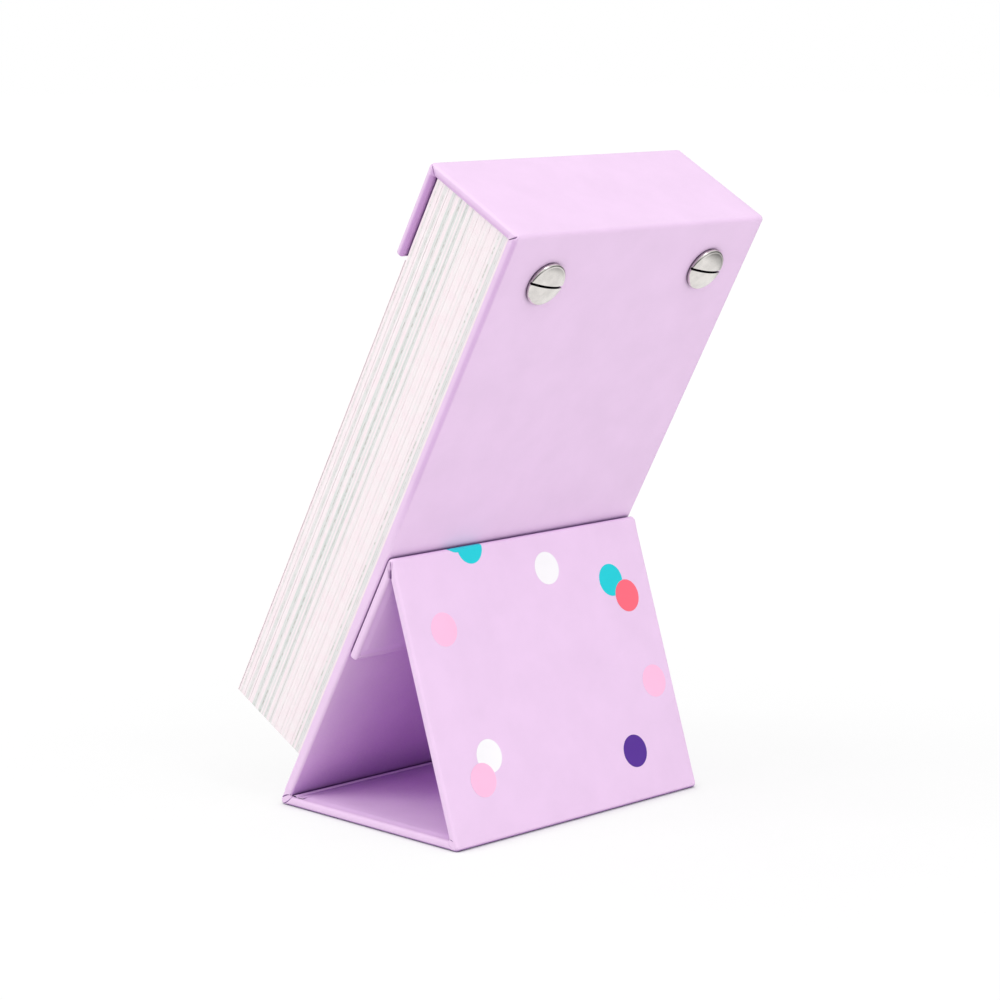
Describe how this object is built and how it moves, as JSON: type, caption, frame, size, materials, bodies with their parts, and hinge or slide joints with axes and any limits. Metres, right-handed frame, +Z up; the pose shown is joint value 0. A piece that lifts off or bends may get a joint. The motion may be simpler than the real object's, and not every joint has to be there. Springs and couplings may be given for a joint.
{
  "type": "desk calendar",
  "caption": "Small upright desk calendar: a post-bound page block in a paper-covered board case that folds out into its own easel.",
  "frame": {"origin": "on the table, under the middle of the whole object", "axes": "+Z up, +X across the case (the left side seen from behind), -Y the way the pages face"},
  "size_m": [0.075, 0.0878, 0.1419],
  "materials": {
    "cover_paper": "lilac laminated cover paper, soft satin",
    "lining_paper": "lilac lining paper, soft satin",
    "greyboard": "raw grey board, matt",
    "page_paper": "white page paper with a faint pink cast at its cut edges, matt",
    "nickel": "polished nickel plate",
    "magnet": "plated disc magnet"
  },
  "bodies": {
    "base": {"base_board": "greyboard", "base_wrap": "cover_paper", "base_liner": "lining_paper", "heel_hinge_paper": "cover_paper", "foot_hinge_paper": "cover_paper"},
    "case": {"strip_board": "greyboard", "strip_wrap": "cover_paper", "strip_liner": "lining_paper", "spine_board": "greyboard", "spine_wrap": "cover_paper", "spine_liner": "lining_paper", "back_board": "greyboard", "back_wrap": "cover_paper", "back_liner": "lining_paper", "strip_hinge_paper": "cover_paper", "spine_hinge_paper": "cover_paper", "back_magnet_left": "magnet", "back_magnet_right": "magnet", "post_barrel_left": "nickel", "post_barrel_right": "nickel", "pages_01": "page_paper", "pages_02": "page_paper", "pages_03": "page_paper", "pages_04": "page_paper", "pages_05": "page_paper", "pages_06": "page_paper", "pages_07": "page_paper", "pages_08": "page_paper", "pages_09": "page_paper", "pages_10": "page_paper", "pages_11": "page_paper", "pages_12": "page_paper"},
    "stand": {"stand_board": "greyboard", "stand_wrap": "cover_paper", "stand_liner": "lining_paper", "apex_hinge_paper": "cover_paper"},
    "flap": {"flap_board": "greyboard", "flap_wrap": "cover_paper", "flap_liner": "lining_paper", "flap_magnet_left": "magnet", "flap_magnet_right": "magnet"},
    "leaf": {"front_leaf": "page_paper"},
    "screw_left": {"binding_screw_left": "nickel"},
    "screw_right": {"binding_screw_right": "nickel"}
  },
  "joints": [
    {"name": "heel_fold", "type": "hinge", "parent": "base", "child": "case", "pos_m": [0, -0.02538, 0.00245], "axis": [-1, 0, 0], "range_deg": [0, 59], "deforming": ["heel_hinge_paper"]},
    {"name": "foot_fold", "type": "hinge", "parent": "base", "child": "stand", "pos_m": [0, 0.02599, 0.0007], "axis": [-1, 0, 0], "range_deg": [0, 108.23], "deforming": ["foot_hinge_paper"]},
    {"name": "apex_fold", "type": "hinge", "parent": "stand", "child": "flap", "pos_m": [0, 0.00644, 0.05449], "axis": [1, 0, 0], "range_deg": [0, 47.23], "deforming": ["apex_hinge_paper"]},
    {"name": "leaf_turn", "type": "hinge", "parent": "case", "child": "leaf", "pos_m": [0, 0.00975, 0.11977], "axis": [-1, 0, 0], "range_deg": [0, 115]},
    {"name": "left_screw_turn", "type": "hinge", "parent": "case", "child": "screw_left", "pos_m": [0.0243, 0.03853, 0.11816], "axis": [0, 0.8746, -0.4848], "continuous": true},
    {"name": "right_screw_turn", "type": "hinge", "parent": "case", "child": "screw_right", "pos_m": [-0.0243, 0.03853, 0.11816], "axis": [0, 0.8746, -0.4848], "continuous": true}
  ],
  "couplings": [
    {"joint": "foot_fold", "follows": "heel_fold", "ratio": 1.8344},
    {"joint": "apex_fold", "follows": "heel_fold", "ratio": 0.80049}
  ]
}
